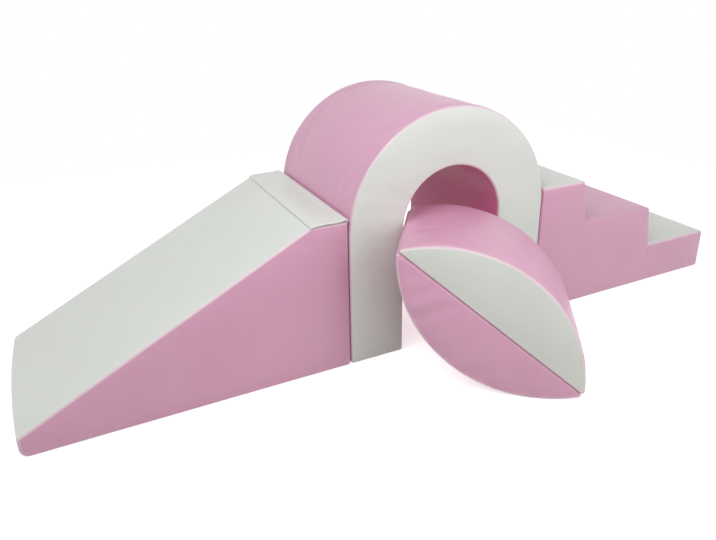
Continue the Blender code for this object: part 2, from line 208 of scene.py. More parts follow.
# %% Shader helpers
class Wire:
    """An output socket that can be added, subtracted and multiplied like a number."""

    def __init__(self, shader, socket):
        self.shader = shader
        self.socket = socket

    def maths(self, operation, *values):
        inputs = dict(enumerate(values))
        return self.shader.add("ShaderNodeMath", {"operation": operation}, inputs)

    def __add__(self, other):
        return self.maths("ADD", self, other)

    def __sub__(self, other):
        return self.maths("SUBTRACT", self, other)

    def __rsub__(self, other):
        return self.maths("SUBTRACT", other, self)

    def __mul__(self, other):
        return self.maths("MULTIPLY", self, other)

    __radd__ = __add__
    __rmul__ = __mul__

    def clamped(self):
        return self.maths("MINIMUM", self.maths("MAXIMUM", self, 0.0), 1.0)

    def smooth(self, low, high):
        """0 up to low, 1 from high on, and a soft step between them."""
        sockets = {"Value": self, "From Min": low, "From Max": high}
        return self.shader.add("ShaderNodeMapRange", {"interpolation_type": "SMOOTHSTEP"}, sockets)


class Shader:
    """The nodes of a material, or of the world."""

    def __init__(self, owner):
        self.owner = owner
        owner.use_nodes = True
        self.tree = owner.node_tree
        self.surface = self.tree.nodes.get("Principled BSDF")

    def add(self, kind, settings=None, inputs=None, output=0):
        node = self.tree.nodes.new(kind)
        for key, value in (settings or {}).items():
            setattr(node, key, value)
        self.fill(node, inputs or {})
        return Wire(self, node.outputs[output])

    def fill(self, node, inputs):
        for key, value in inputs.items():
            if isinstance(value, Wire):
                self.tree.links.new(value.socket, node.inputs[key])
            else:
                node.inputs[key].default_value = value

    def finish(self, **inputs):
        """Sets the surface's sockets, whose names are written with _ for a space."""
        self.fill(self.surface, {key.replace("_", " "): value for key, value in inputs.items()})
        return self.owner

    def place(self):
        return self.add("ShaderNodeTexCoord", output="Object")

    def noise(self, size, detail, roughness=0.5):
        """Soft noise, from 0 to 1, whose lumps are about this many metres across."""
        sockets = {"Vector": self.place(), "Scale": 1 / size, "Detail": detail}
        sockets["Roughness"] = roughness
        return self.add("ShaderNodeTexNoise", inputs=sockets)

    def cells(self, size):
        """Distance from the middle of the nearest cell, in cells of about this many metres."""
        sockets = {"Vector": self.place(), "Scale": 1 / size}
        return self.add("ShaderNodeTexVoronoi", inputs=sockets)

    def number(self, name):
        """A number that the mesh carries at each point."""
        return self.add("ShaderNodeAttribute", {"attribute_name": name}, output="Fac")

    def blend(self, factor, first, second):
        sockets = {0: factor, 6: first, 7: second}
        return self.add("ShaderNodeMix", {"data_type": "RGBA"}, sockets, output=2)

    def shown(self):
        """1 for the camera, reflections and clear materials, and 0 for the light itself."""
        rays = ("Is Camera Ray", "Is Glossy Ray", "Is Transmission Ray")
        seen, mirrored, through = (self.add("ShaderNodeLightPath", output=ray) for ray in rays)
        return (seen + mirrored + through).clamped()

    def bump(self, height, distance, normal=None):
        sockets = {"Height": height, "Distance": distance}
        if normal:
            sockets["Normal"] = normal
        return self.add("ShaderNodeBump", inputs=sockets)


def new_shader(name):
    return Shader(bpy.data.materials.new(name))


def opaque(colour):
    return (*colour, 1.0)


print("shader helpers ready")

# %% [markdown]
# ## Artificial leather
# The covers are a thin, satin vinyl. Close up it has a fine pebbled grain, from a pattern of cells
# a millimetre wide with a few broader creases. From a step away it looks plain, apart from a slight
# change of tone, so colour varies by little more than a hundredth. Along each sewn edge the colour
# is paler, a painted highlight for the light that the rolled edge catches, and the cover is
# glossier there. Each point of a panel knows how far it is from its nearest seam, and that number
# drives the painted highlight. A second number says how far the other colour is: where white meets
# pink, the two sides of the seam share a narrow pale band, which is a painted highlight too. So do
# the face and the curve of a half moon. The tunnel is lined with a darker, deeper pink, without the
# gloss; the darker pink is painted shade for the shadow inside the tunnel.

# %% Leather
SEAM_NUMBER = "seam_gap"
BORDER_NUMBER = "border_gap"
# Painted highlight: a pale band where white meets pink, and where a half moon's face meets its
# curve.
BORDER_START = 0.0010
BORDER_END = 0.0070
SEAM_BAND_HIGHLIGHT_SHARE = 0.75
SEAM_BAND_HIGHLIGHT_COLOUR = (0.84, 0.70, 0.75)
GLOSS_COAT = 0.7
GLOSS_COAT_ROUGH = 0.4
GRAIN_SIZE, GRAIN_HEIGHT = 0.0011, 0.00012
CREASE_SIZE, CREASE_DETAIL, CREASE_ROUGH, CREASE_HEIGHT = 0.006, 4.0, 0.6, 0.00025
TONE_SIZE, TONE_DETAIL, TONE_LOW, TONE_HIGH = 0.11, 3.0, 0.3, 0.7
ROUGHNESS, ROUGHER_WITH_TONE, SMOOTHER_NEAR_SEAMS = 0.40, 0.08, 0.05
# Painted highlight along each seam: how far it reaches and how much of the paler colour it takes.
SEAM_HIGHLIGHT_WIDTH = 0.006
WHITE_HIGHLIGHT_SHARE, PINK_HIGHLIGHT_SHARE, TUNNEL_HIGHLIGHT_SHARE = 0.6, 0.4, 0.5
# Each colour has a deeper tone that varies at random, and a paler one that is the painted seam
# highlight.
WHITE = (0.735, 0.765, 0.72)
WHITE_DEEP = (0.722, 0.751, 0.706)
WHITE_SEAM_HIGHLIGHT = (0.78, 0.79, 0.76)
PINK = (0.70, 0.355, 0.515)
PINK_DEEP = (0.688, 0.343, 0.502)
PINK_SEAM_HIGHLIGHT = (0.76, 0.47, 0.60)
# The tunnel's pink is darker than the rest: painted shade for the shadow inside the tunnel.
TUNNEL_SHADE_PINK = (0.73, 0.19, 0.38)
TUNNEL_SHADE_PINK_DEEP = (0.715, 0.18, 0.365)
TUNNEL_SEAM_HIGHLIGHT = (0.74, 0.42, 0.57)


def leather(name, colour, deep, highlight, highlight_share, coat=GLOSS_COAT):
    shader = new_shader(name)
    tone = shader.noise(TONE_SIZE, TONE_DETAIL)
    grain = shader.cells(GRAIN_SIZE)
    crease = shader.noise(CREASE_SIZE, CREASE_DETAIL, CREASE_ROUGH)
    # Painted highlight along the seams, where the cover is also glossier.
    seam_highlight_and_gloss = 1 - shader.number(SEAM_NUMBER).smooth(0.0, SEAM_HIGHLIGHT_WIDTH)
    base = shader.blend(tone.smooth(TONE_LOW, TONE_HIGH), opaque(colour), opaque(deep))
    base = shader.blend(seam_highlight_and_gloss * highlight_share, base, opaque(highlight))
    # Painted highlight: the pale band where the colours meet.
    band_highlight = 1 - shader.number(BORDER_NUMBER).smooth(BORDER_START, BORDER_END)
    base = shader.blend(band_highlight * SEAM_BAND_HIGHLIGHT_SHARE, base, opaque(SEAM_BAND_HIGHLIGHT_COLOUR))
    creased = shader.bump(crease, CREASE_HEIGHT)
    return shader.finish(
        Base_Color=base,
        Roughness=ROUGHNESS + ROUGHER_WITH_TONE * tone - SMOOTHER_NEAR_SEAMS * seam_highlight_and_gloss,
        Coat_Weight=coat,
        Coat_Roughness=GLOSS_COAT_ROUGH,
        Normal=shader.bump(grain, GRAIN_HEIGHT, creased),
    )


white_leather = leather("white_leather", WHITE, WHITE_DEEP, WHITE_SEAM_HIGHLIGHT, WHITE_HIGHLIGHT_SHARE)
pink_leather = leather("pink_leather", PINK, PINK_DEEP, PINK_SEAM_HIGHLIGHT, PINK_HIGHLIGHT_SHARE)
# A darker copy of the pink for the tunnel, which is painted shade, without the coat.
tunnel_shade_leather = leather("tunnel_shade_leather", TUNNEL_SHADE_PINK, TUNNEL_SHADE_PINK_DEEP, TUNNEL_SEAM_HIGHLIGHT, TUNNEL_HIGHLIGHT_SHARE, coat=0.0)
print("leathers:", white_leather.name, pink_leather.name, tunnel_shade_leather.name)

# %% [markdown]
# ## Foam and tapes
# The foam core never shows, but it is there, so it gets its open cells, with painted shade in the
# middle of each pore. Hook tape is a stiff weave with rows of small hooks, and loop tape has a
# brushed pile. Both are made here as a pattern of small cells, whose edges are darker: painted
# shade between the hooks and loops. The thread of the stitches has the same.

# %% Foam and tapes
FOAM_CELL, FOAM_PORE_DEPTH, FOAM_ROUGHNESS = 0.0016, 0.0006, 0.95
# The darker pore colour is painted shade in the pores.
FOAM_PORE_SHADE, FOAM_WALL = (0.62, 0.58, 0.44), (0.88, 0.85, 0.72)
FOAM_SPREAD, TAPE_SPREAD = (0.1, 0.6), (0.2, 0.7)
TAPE_ROUGHNESS = 0.85
# The second colour of each finish is darker: painted shade between its hooks, loops and fibres.
TAPE_LOOKS = {
    "hook_tape": (0.0014, 0.0008, (0.80, 0.80, 0.80), (0.55, 0.55, 0.56)),
    "loop_tape": (0.0008, 0.0004, (0.78, 0.78, 0.78), (0.62, 0.62, 0.63)),
    "thread": (0.0008, 0.0002, (0.82, 0.82, 0.81), (0.70, 0.70, 0.69)),
}


def pile(name, size, height, spread, middle, edge, roughness):
    """A finish of small cells, whose colour goes from their middles to their edges; the darker of
    the two is painted shade.
    """
    shader = new_shader(name)
    cells = shader.cells(size)
    base = shader.blend(cells.smooth(*spread), opaque(middle), opaque(edge))
    return shader.finish(Base_Color=base, Roughness=roughness, Normal=shader.bump(cells, height))


foam = pile(
    "foam", FOAM_CELL, FOAM_PORE_DEPTH, FOAM_SPREAD, FOAM_PORE_SHADE, FOAM_WALL, FOAM_ROUGHNESS
)
tape_finishes = {
    name: pile(name, size, height, TAPE_SPREAD, colour, gap_shade, TAPE_ROUGHNESS)
    for name, (size, height, colour, gap_shade) in TAPE_LOOKS.items()
}
print("core and tapes:", foam.name, *tape_finishes)

# %% [markdown]
# ## Outlines
# Seen from the front, each block is an outline of straight lines and arcs. A seam crosses the depth
# at every corner, so the outline falls into runs from seam to seam, and each run becomes one panel.
# A run is a row of points with an outward direction. It is close set near its seams, where the
# cover dips, and wider apart between them.

# %% Runs
PANEL_STEP = 0.012
CORE_STEP = 0.05
ARC_TURN = math.radians(12)
SEAM_ROWS = (0.0012, 0.0028)
SEAM_CLEAR = 0.0036
SAME = 1e-6

Knot = namedtuple("Knot", "at out")
Sample = namedtuple("Sample", "at out gap")


def heading(angle):
    return Vector((math.cos(angle), math.sin(angle)))


def arc(centre, radius, start, end, step):
    steps = math.ceil(abs(end - start) * max(radius / step, 1 / ARC_TURN))
    angles = [start + (end - start) * i / steps for i in range(steps + 1)]
    return [Knot(centre + radius * heading(angle), heading(angle)) for angle in angles]


def line(start, end, step):
    along = (end - start).normalized()
    out = Vector((along.y, -along.x))
    steps = max(1, math.ceil((end - start).length / step))
    return [Knot(start.lerp(end, i / steps), out) for i in range(steps + 1)]


def run(knots, first_out=None, last_out=None):
    """Joins stretches of knots into one run and adds the close rows beside its two seams."""
    path = knots[:1]
    for knot in knots[1:]:
        if (knot.at - path[-1].at).length > SAME:
            path.append(knot)
    walked = [0.0]
    for before, after in zip(path, path[1:]):
        walked.append(walked[-1] + (after.at - before.at).length)
    total = walked[-1]
    inner = [value for value in walked if SEAM_CLEAR < value < total - SEAM_CLEAR]
    rows = [value for row in SEAM_ROWS for value in (row, total - row)]
    samples = []
    for value in sorted([0.0, total] + inner + rows):
        i = min(sum(1 for other in walked[1:] if other < value - SAME), len(path) - 2)
        share = (value - walked[i]) / (walked[i + 1] - walked[i])
        at = path[i].at.lerp(path[i + 1].at, share)
        out = path[i].out.lerp(path[i + 1].out, share).normalized()
        samples.append(Sample(at, out, min(value, total - value)))
    if first_out:
        samples[0] = samples[0]._replace(out=first_out)
    if last_out:
        samples[-1] = samples[-1]._replace(out=last_out)
    return samples


def chain(pieces, step):
    """One run of several arcs, with a straight line from each to the next."""
    knots = list(pieces[0])
    for piece in pieces[1:]:
        knots += line(knots[-1].at, piece[0].at, step) + piece
    return run(knots)


def polygon_runs(corners, step):
    """One run for each side of a block with straight sides. A corner is (x, z, radius)."""
    points = [Vector(corner[:2]) for corner in corners]
    outs = []
    for point, nxt in zip(points, points[1:] + points[:1]):
        along = (nxt - point).normalized()
        outs.append(Vector((along.y, -along.x)))
    halves = []
    for i, (point, corner) in enumerate(zip(points, corners)):
        before, after, radius = outs[i - 1], outs[i], corner[2]
        miter = (before + after) / (1 + before.dot(after))
        if not radius:
            halves.append(([], [], point, point, miter))
            continue
        start = math.atan2(before.y, before.x)
        turn = math.atan2(before.cross(after), before.dot(after))
        centre = point - radius * miter
        middle = start + turn / 2
        arriving = arc(centre, radius, start, middle, step)
        leaving = arc(centre, radius, middle, start + turn, step)
        halves.append((arriving, leaving, arriving[0].at, leaving[-1].at, None))
    runs = []
    for here, there in zip(halves, halves[1:] + halves[:1]):
        knots = here[1] + line(here[3], there[2], step) + there[0]
        runs.append(run(knots, here[4], there[4]))
    return runs


print("a run's rows beside a seam:", SEAM_ROWS)

# %% [markdown]
# ## The four outlines
# They all go anticlockwise, as the near face shows them, and start at the lower left. The order of
# the runs is the order in which the panels are named further down.

# %% Outlines of the blocks
def arch_runs(step):
    """Left foot, tunnel, right foot and outside."""
    outer, inner, radius = ARCH_WIDTH / 2, TUNNEL_WIDTH / 2, CORNER_RADIUS
    middle = Vector((0.0, ARCH_HEIGHT - outer))
    quarter = math.pi / 2

    def foot(x, side):
        """The two halves of the corner at x, whose leg lies on this side of it."""
        centre = Vector((x + side * radius, radius))
        start = math.pi if side > 0 else -quarter
        half = start + quarter / 2
        first = arc(centre, radius, start, half, step)
        return first, arc(centre, radius, half, start + quarter, step)

    left_out, left_in = foot(-outer, 1), foot(-inner, -1)
    right_in, right_out = foot(inner, 1), foot(outer, -1)
    under = [Knot(knot.at, -knot.out) for knot in arc(middle, inner, math.pi, 0.0, step)]
    over = arc(middle, outer, 0.0, math.pi, step)
    sides = (
        (left_out[1], left_in[0]),
        (left_in[1], under, right_in[0]),
        (right_in[1], right_out[0]),
        (right_out[1], over, left_out[0]),
    )
    return [chain(pieces, step) for pieces in sides]


def slide_runs(step):
    """Base, back, landing, slope and nose."""
    corners = [
        (-SLIDE_LENGTH, 0.0, NOSE_FOOT_RADIUS),
        (0.0, 0.0, CORNER_RADIUS),
        (0.0, SLIDE_HEIGHT, CORNER_RADIUS),
        (-LANDING_LENGTH, SLIDE_HEIGHT, CORNER_RADIUS),
        (-SLIDE_LENGTH, NOSE_HEIGHT, CORNER_RADIUS),
    ]
    return polygon_runs(corners, step)


def steps_runs(step):
    """Base, then riser and tread up to the back."""
    corners = [(0.0, 0.0, CORNER_RADIUS)]
    nosing, height = sum(TREAD_LENGTHS), 0.0
    foot = nosing
    for length in reversed(TREAD_LENGTHS):
        corners.append((foot, height, CORNER_RADIUS if height == 0.0 else 0.0))
        height += STEP_RISE
        corners.append((nosing, height, CORNER_RADIUS))
        nosing -= length
        foot = nosing + RISER_LEAN
    corners.append((0.0, height, CORNER_RADIUS))
    return polygon_runs(corners, step)


RIM_GAP = 0.0008


def moon_runs(step):
    """Flat and curve, measured from the centre of the curve. The rims of the flats all but meet."""
    flat = MOON_RADIUS - MOON_PAIR_HEIGHT / 2 + RIM_GAP / 2
    tip_z = flat + MOON_TIP_RADIUS
    tip_x = math.sqrt((MOON_RADIUS - MOON_TIP_RADIUS) ** 2 - tip_z**2)
    lean = math.atan2(tip_x, tip_z)
    up, down = math.pi / 2, -math.pi / 2

    def tip(x, start, end):
        centre, half = Vector((x, tip_z)), (start + end) / 2
        first = arc(centre, MOON_TIP_RADIUS, start, half, step)
        return first, arc(centre, MOON_TIP_RADIUS, half, end, step)

    right = tip(tip_x, down, up - lean)
    left = tip(-tip_x, up + lean, 2 * math.pi + down)
    curve = arc(Vector((0.0, 0.0)), MOON_RADIUS, up - lean, up + lean, step)
    return [chain((left[1], right[0]), step), run(right[1] + curve + left[0])]


print("panels round the arch:", len(arch_runs(PANEL_STEP)))

# %% [markdown]
# ## From outline to surface
# A panel that crosses the depth is a grid: its run in one direction, and rows over the soft edge
# and across the depth in the other. A face panel has rings over the soft edge, and inside them a
# mesh of even triangles, which folds like cloth in every direction. A Delaunay triangulation makes
# it from the inner ring and a lattice of points.

# %% Surfaces
HALF_ROLL = math.pi / 4
FIRST_ROW = 0.0001
ROLL_GAPS = (FIRST_ROW, *SEAM_ROWS, HALF_ROLL * EDGE_RADIUS)
SEAM_DIP = 0.0008
SEAM_REACH = 0.003
LATTICE_CLEAR_SHARE = 0.6
NO_SEAM_NEAR = 0.05

Surface = namedtuple("Surface", "points faces gaps")


def dip(gap):
    """How deep the cover lies under its outline, this far from a seam."""
    return SEAM_DIP * max(0.0, 1 - gap / SEAM_REACH) ** 2


def over_edge(sample, turn, under, depth, far):
    """The point on the soft edge at this turn from the face, in the block's frame."""
    reach = EDGE_RADIUS - under
    at = sample.at - (EDGE_RADIUS - reach * math.sin(turn)) * sample.out
    y = EDGE_RADIUS - reach * math.cos(turn)
    return Vector((at.x, depth - y if far else y, at.y))


def across(sample, share, under, depth):
    """The point this share of the way from one soft edge to the other."""
    at = sample.at - under * sample.out
    return Vector((at.x, EDGE_RADIUS + share * (depth - 2 * EDGE_RADIUS), at.y))


def grid_faces(rows, columns, first=0):
    """Quads of a grid of points, facing out for rows that go away from the near face."""
    faces = []
    for i in range(rows - 1):
        for j in range(columns - 1):
            a = first + i * columns + j
            faces.append((a, a + columns, a + columns + 1, a + 1))
    return faces


def ring_faces(rings, count):
    """Quads between rings of points, each of which has this many."""
    faces = []
    for a in range(0, (rings - 1) * count, count):
        for j in range(count):
            k = (j + 1) % count
            faces.append((a + j, a + k, a + count + k, a + count + j))
    return faces


def wrap_surface(samples, depth):
    """The surface of a panel that crosses the depth."""
    points, gaps = [], []
    steps = math.ceil((depth - 2 * EDGE_RADIUS) / PANEL_STEP)
    rows = [(HALF_ROLL + gap / EDGE_RADIUS, gap, False) for gap in ROLL_GAPS]
    shares = [i / steps for i in range(1, steps)]
    far_rows = [(turn, gap, True) for turn, gap, _ in reversed(rows)]

    def add(point, gap):
        points.append(point)
        gaps.append(gap)

    def edge_rows(table):
        for turn, row_gap, far in table:
            for sample in samples:
                gap = min(row_gap, sample.gap)
                add(over_edge(sample, turn, dip(gap), depth, far), gap)

    edge_rows(rows)
    for share in shares:
        side = ROLL_GAPS[-1] + min(share, 1 - share) * (depth - 2 * EDGE_RADIUS)
        for sample in samples:
            gap = min(side, sample.gap)
            add(across(sample, share, dip(gap), depth), gap)
    edge_rows(far_rows)
    return Surface(points, grid_faces(2 * len(rows) + len(shares), len(samples)), gaps)


def inside(point, ring):
    """Whether a point lies in a polygon."""
    within = False
    for a, b in zip(ring, ring[1:] + ring[:1]):
        if (a.y > point.y) != (b.y > point.y):
            if point.x < a.x + (point.y - a.y) / (b.y - a.y) * (b.x - a.x):
                within = not within
    return within


def lattice(ring, step):
    """Points in rows of even triangles, clear of the ring, with their distance from it."""
    tree = kdtree.KDTree(len(ring))
    for i, point in enumerate(ring):
        tree.insert(point.to_3d(), i)
    tree.balance()
    low = [min(point[axis] for point in ring) for axis in (0, 1)]
    high = [max(point[axis] for point in ring) for axis in (0, 1)]
    height = step * math.sqrt(3) / 2
    found = []
    for row in range(int((high[1] - low[1]) / height) + 1):
        for column in range(int((high[0] - low[0]) / step) + 2):
            x = low[0] + (column + row % 2 / 2) * step
            point = Vector((x, low[1] + row * height))
            if not inside(point, ring):
                continue
            distance = tree.find(point.to_3d())[2]
            if distance > LATTICE_CLEAR_SHARE * step:
                found.append((point, distance))
    return found


def face_surface(samples, depth, far):
    """The surface of a near or far face panel. Its outline is the whole ring of samples."""
    points, gaps = [], []
    count = len(samples)
    for gap in ROLL_GAPS:
        for sample in samples:
            points.append(over_edge(sample, HALF_ROLL - gap / EDGE_RADIUS, dip(gap), depth, far))
            gaps.append(gap)
    faces = ring_faces(len(ROLL_GAPS), count)
    first = len(points) - count
    ring = [Vector((point.x, point.z)) for point in points[first:]]
    filling = lattice(ring, PANEL_STEP)
    flat = ring + [point for point, _ in filling]
    made = geometry.delaunay_2d_cdt(flat, [], [list(range(count))], 1, SAME)
    y = points[first].y
    points += [Vector((point.x, y, point.y)) for point, _ in filling]
    gaps += [gap + ROLL_GAPS[-1] for _, gap in filling]
    for triangle in made[2]:
        faces.append(tuple(first + made[3][corner][0] for corner in triangle))
    if far:
        faces = [face[::-1] for face in faces]
    return Surface(points, faces, gaps)


def ring_of(runs):
    """All the samples of an outline, once round. The seams across the depth don't dip the faces."""
    return [sample for samples in runs for sample in samples[:-1]]


example = face_surface(ring_of(moon_runs(PANEL_STEP)), MOON_DEPTH, False)
print("a half moon's face:", len(example.points), "points,", len(example.faces), "faces")

# %% [markdown]
# ## The list of panels
# Each panel has its block, the node that it stands for, its finish, its surface, whether that is
# free, and its flat size. A panel that mostly lies on the floor, against another block or under the
# flap is held flat. The others can swell as far as there is room.

# %% Panels
Block = namedtuple("Block", "body frame depth outline face_finish")
Panel = namedtuple("Panel", "block node finish surface loose flat area")

BLOCKS = (
    Block("arch", ARCH_FRAME, DEPTH, arch_runs, "white"),
    Block("slide", SLIDE_FRAME, DEPTH, slide_runs, "pink"),
    Block("steps", STEPS_FRAME, DEPTH, steps_runs, "pink"),
    Block("lower_half_moon", LOWER_MOON_FRAME, MOON_DEPTH, moon_runs, "pink"),
    Block("upper_half_moon", UPPER_MOON_FRAME, MOON_DEPTH, moon_runs, "white"),
)

MOON_WRAPS = [("flat_cover", "pink", False), ("curved_cover", "pink", True)]
WRAPS = {
    "arch": [
        ("left_foot_cover", "pink", False),
        ("tunnel_lining", "pink", True),
        ("right_foot_cover", "pink", False),
        ("outer_cover", "pink", True),
    ],
    "slide": [
        ("base_cover", "pink", False),
        ("back_cover", "pink", False),
        ("landing_cover", "white", False),
        ("slope_cover", "white", True),
        ("nose_cover", "white", True),
    ],
    "steps": [
        ("base_cover", "pink", False),
        ("low_riser_cover", "pink", True),
        ("low_tread_cover", "white", True),
        ("middle_riser_cover", "pink", True),
        ("middle_tread_cover", "pink", True),
        ("top_riser_cover", "pink", True),
        ("top_tread_cover", "white", True),
        ("back_cover", "pink", False),
    ],
    "lower_half_moon": MOON_WRAPS,
    "upper_half_moon": MOON_WRAPS,
}

LEATHERS = {"white": white_leather, "pink": pink_leather}

NOSE_REACH = 0.06
NOSE_TOP_SHARE = 0.7
RIM_WIDTH = 0.035


def swell(share):
    """0 at both ends and 1 halfway."""
    return 4 * share * (1 - share)


def ease(value, low, high):
    """0 up to low, 1 from high on, and a soft step between them."""
    share = min(1.0, max(0.0, (value - low) / (high - low)))
    return share * share * (3 - 2 * share)


def with_bulge(surface):
    """The slide's low end pushed out, most halfway up and in the middle of its width."""
    points = []
    for point in surface.points:
        beyond = max(0.0, point.x + SLIDE_LENGTH) / NOSE_REACH
        high = min(1.0, NOSE_TOP_SHARE * max(0.0, point.z) / NOSE_HEIGHT)
        push = NOSE_BULGE * swell(high) * swell(point.y / DEPTH) * max(0.0, 1 - beyond) ** 2
        points.append(point - Vector((push, 0.0, 0.0)))
    return surface._replace(points=points)


def with_hollow(surface):
    """A half moon's flat, sunk inside its rim, where the tapes lie."""
    points = []
    for point, gap in zip(surface.points, surface.gaps):
        sunk = (STRIP_GAP - RIM_GAP) / 2 * ease(gap, 0.0, RIM_WIDTH)
        points.append(point + Vector((0.0, 0.0, sunk)))
    return surface._replace(points=points)


def polygon_area(points):
    pairs = zip(points, points[1:] + points[:1])
    return abs(sum(a.cross(b) for a, b in pairs)) / 2


def length_of(samples):
    return sum((b.at - a.at).length for a, b in zip(samples, samples[1:]))


def block_panels(block):
    """Every panel of a block's cover."""
    made = []
    runs = block.outline(PANEL_STEP)
    ring = ring_of(runs)
    corners = [sample.at for sample in ring]
    box = [max(c[axis] for c in corners) - min(c[axis] for c in corners) for axis in (0, 1)]

    def add(name, finish, surface, loose, flat, area):
        if block.body == "slide":
            surface = with_bulge(surface)
        if name == "flat_cover":
            surface = with_hollow(surface)
        made.append(Panel(block, f"{block.body}_{name}", finish, surface, loose, flat, area))

    for name, far in (("near_face", False), ("far_face", True)):
        surface = face_surface(ring, block.depth, far)
        add(name, block.face_finish, surface, True, box, polygon_area(corners))
    for samples, (name, finish, loose) in zip(runs, WRAPS[block.body]):
        surface, length = wrap_surface(samples, block.depth), length_of(samples)
        add(name, finish, surface, loose, [length, block.depth], length * block.depth)
    return made


panels = [panel for block in BLOCKS for panel in block_panels(block)]
print(len(panels), "panels with", sum(len(panel.surface.points) for panel in panels), "points")

# %% [markdown]
# ## The connecting flap
# A flap of the same vinyl is sewn along the slide's top back edge and folded back over the landing.
# We take it to turn up and hold another block to this one. It is only two layers of cloth, so it is
# one soft sheet: a roll at the hinge, a flat stretch over the tapes, and from there it droops until
# its free edge lies on the landing. At the near edge that leaves a thin wedge of shadow.

# %% Shape of the flap
FLAP_SHEET = 0.0009
FLAP_ROLL = (STRIP_GAP + FLAP_THICK - CLEARANCE) / 2
FLAP_UNDER = FLAP_ROLL - FLAP_THICK
FLAP_ROLL_STEPS = 14
FLAP_ROWS = 26
FLAP_COLUMNS = 60
FLAP_RIPPLE = 0.0005
FLAP_RIPPLE_SIZE = 0.05
TAPE_START = LANDING_LENGTH / 2 - FLAP_ROLL - STRIP_WIDTH / 2
TAPE_END = TAPE_START + STRIP_WIDTH


def flap_path():
    """The middle of the sheet in section, from its rolled end to its free edge."""
    bend = FLAP_ROLL - FLAP_SHEET / 2
    path = [
        bend * heading(math.pi + 3 * math.pi / 2 * i / FLAP_ROLL_STEPS)
        for i in range(FLAP_ROLL_STEPS + 1)
    ]
    over_tape = FLAP_UNDER + FLAP_SHEET / 2
    landed = SLIDE_HEIGHT + 2 * CLEARANCE + FLAP_SHEET / 2 - hinge.z
    for i in range(1, FLAP_ROWS + 1):
        reach = FLAP_REACH * i / FLAP_ROWS
        high = bend + (over_tape - bend) * ease(reach, 0.0, TAPE_START)
        high += (landed - over_tape) * ease(reach, TAPE_END, FLAP_REACH)
        path.append(Vector((-reach, high)))
    return path


def flap_surface():
    path = flap_path()
    points = []
    width = DEPTH + 2 * FLAP_PROUD
    for column in range(FLAP_COLUMNS + 1):
        y = -FLAP_PROUD + width * column / FLAP_COLUMNS
        for at in path:
            point = Vector((at.x, y, at.y))
            loose = ease(-at.x, 0.0, TAPE_START) * (1 - ease(-at.x, TAPE_END, FLAP_REACH))
            lift = FLAP_RIPPLE * loose * (1 + noise.noise(point / FLAP_RIPPLE_SIZE))
            points.append(point + Vector((0.0, 0.0, lift)))
    count = len(path)
    faces = [tuple(reversed(face)) for face in grid_faces(FLAP_COLUMNS + 1, count)]
    return Surface(points, faces, [NO_SEAM_NEAR] * len(points))


flap = flap_surface()
flap_length = sum((b - a).length for a, b in zip(flap_path(), flap_path()[1:]))
print("flap:", round(flap_length * 1000), "mm from its roll to its free edge")

# %% [markdown]
# ## Where the tapes are sewn
# Hook tape on one block grips loop tape on the next. The photograph shows none of them, so their
# places, sizes and kinds are guesses. A tape is described by the middle of its sewn side, the way
# that it faces and the way that it runs, all in the frame of its block.

# %% Tape places
Tape = namedtuple("Tape", "node body frame kind middle out along length")
ACROSS = Vector((0.0, 1.0, 0.0))


def wall_tapes(prefix, body, frame_of, kind, x, out):
    """The near and far tapes on an upright side."""
    height = (ARCH_HEIGHT - ARCH_WIDTH / 2) / 2
    made = []
    for where, y in (("near", WALL_STRIP_INSET), ("far", DEPTH - WALL_STRIP_INSET)):
        node, middle = f"{prefix}_{where}_{kind}_strip", Vector((x, y, height))
        facing = Vector((out, 0.0, 0.0))
        made.append(Tape(node, body, frame_of, kind, middle, facing, UP, WALL_STRIP_LENGTH))
    return made


def moon_tapes(body, frame_of, kind):
    flat = MOON_RADIUS - MOON_PAIR_HEIGHT / 2 + STRIP_GAP / 2
    made = []
    for side, where in ((-1, "left"), (1, "right")):
        node = f"{body}_{where}_{kind}_strip"
        middle = Vector((side * MOON_STRIP_SPACING / 2, MOON_DEPTH / 2, flat))
        made.append(Tape(node, body, frame_of, kind, middle, -UP, ACROSS, MOON_STRIP_LENGTH))
    return made


landing_middle = Vector((-LANDING_LENGTH / 2, DEPTH / 2, SLIDE_HEIGHT))
flap_middle = Vector((-LANDING_LENGTH / 2 + FLAP_ROLL, DEPTH / 2, FLAP_UNDER))
tapes = (
    wall_tapes("arch_left", "arch", ARCH_FRAME, "loop", -ARCH_WIDTH / 2, -1)
    + wall_tapes("arch_right", "arch", ARCH_FRAME, "loop", ARCH_WIDTH / 2, 1)
    + wall_tapes("slide", "slide", SLIDE_FRAME, "hook", 0.0, 1)
    + wall_tapes("steps", "steps", STEPS_FRAME, "hook", 0.0, -1)
    + moon_tapes("lower_half_moon", LOWER_MOON_FRAME, "loop")
    + moon_tapes("upper_half_moon", UPPER_MOON_FRAME, "hook")
    + [
        Tape("landing_loop_strip", "slide", SLIDE_FRAME, "loop", landing_middle, UP, ACROSS,
             LANDING_STRIP_LENGTH),
        Tape("flap_hook_strip", "connecting_flap", FLAP_FRAME, "hook", flap_middle, -UP, ACROSS,
             LANDING_STRIP_LENGTH),
    ]
)


ROUND_STEPS = 4
LEAST_ROUND = STRIP_CORNER / 3


def tape_outline(tape, inset):
    """Points round a tape, this far inside its edge, in metres along and across it."""
    half_long, half_wide = tape.length / 2 - inset, STRIP_WIDTH / 2 - inset
    round_off = max(STRIP_CORNER - inset, LEAST_ROUND)
    points = []
    for i, (a, b) in enumerate(((1, 1), (-1, 1), (-1, -1), (1, -1))):
        centre = Vector((a * (half_long - round_off), b * (half_wide - round_off)))
        for j in range(ROUND_STEPS + 1):
            points.append(centre + round_off * heading((i + j / ROUND_STEPS) * math.pi / 2))
    return points


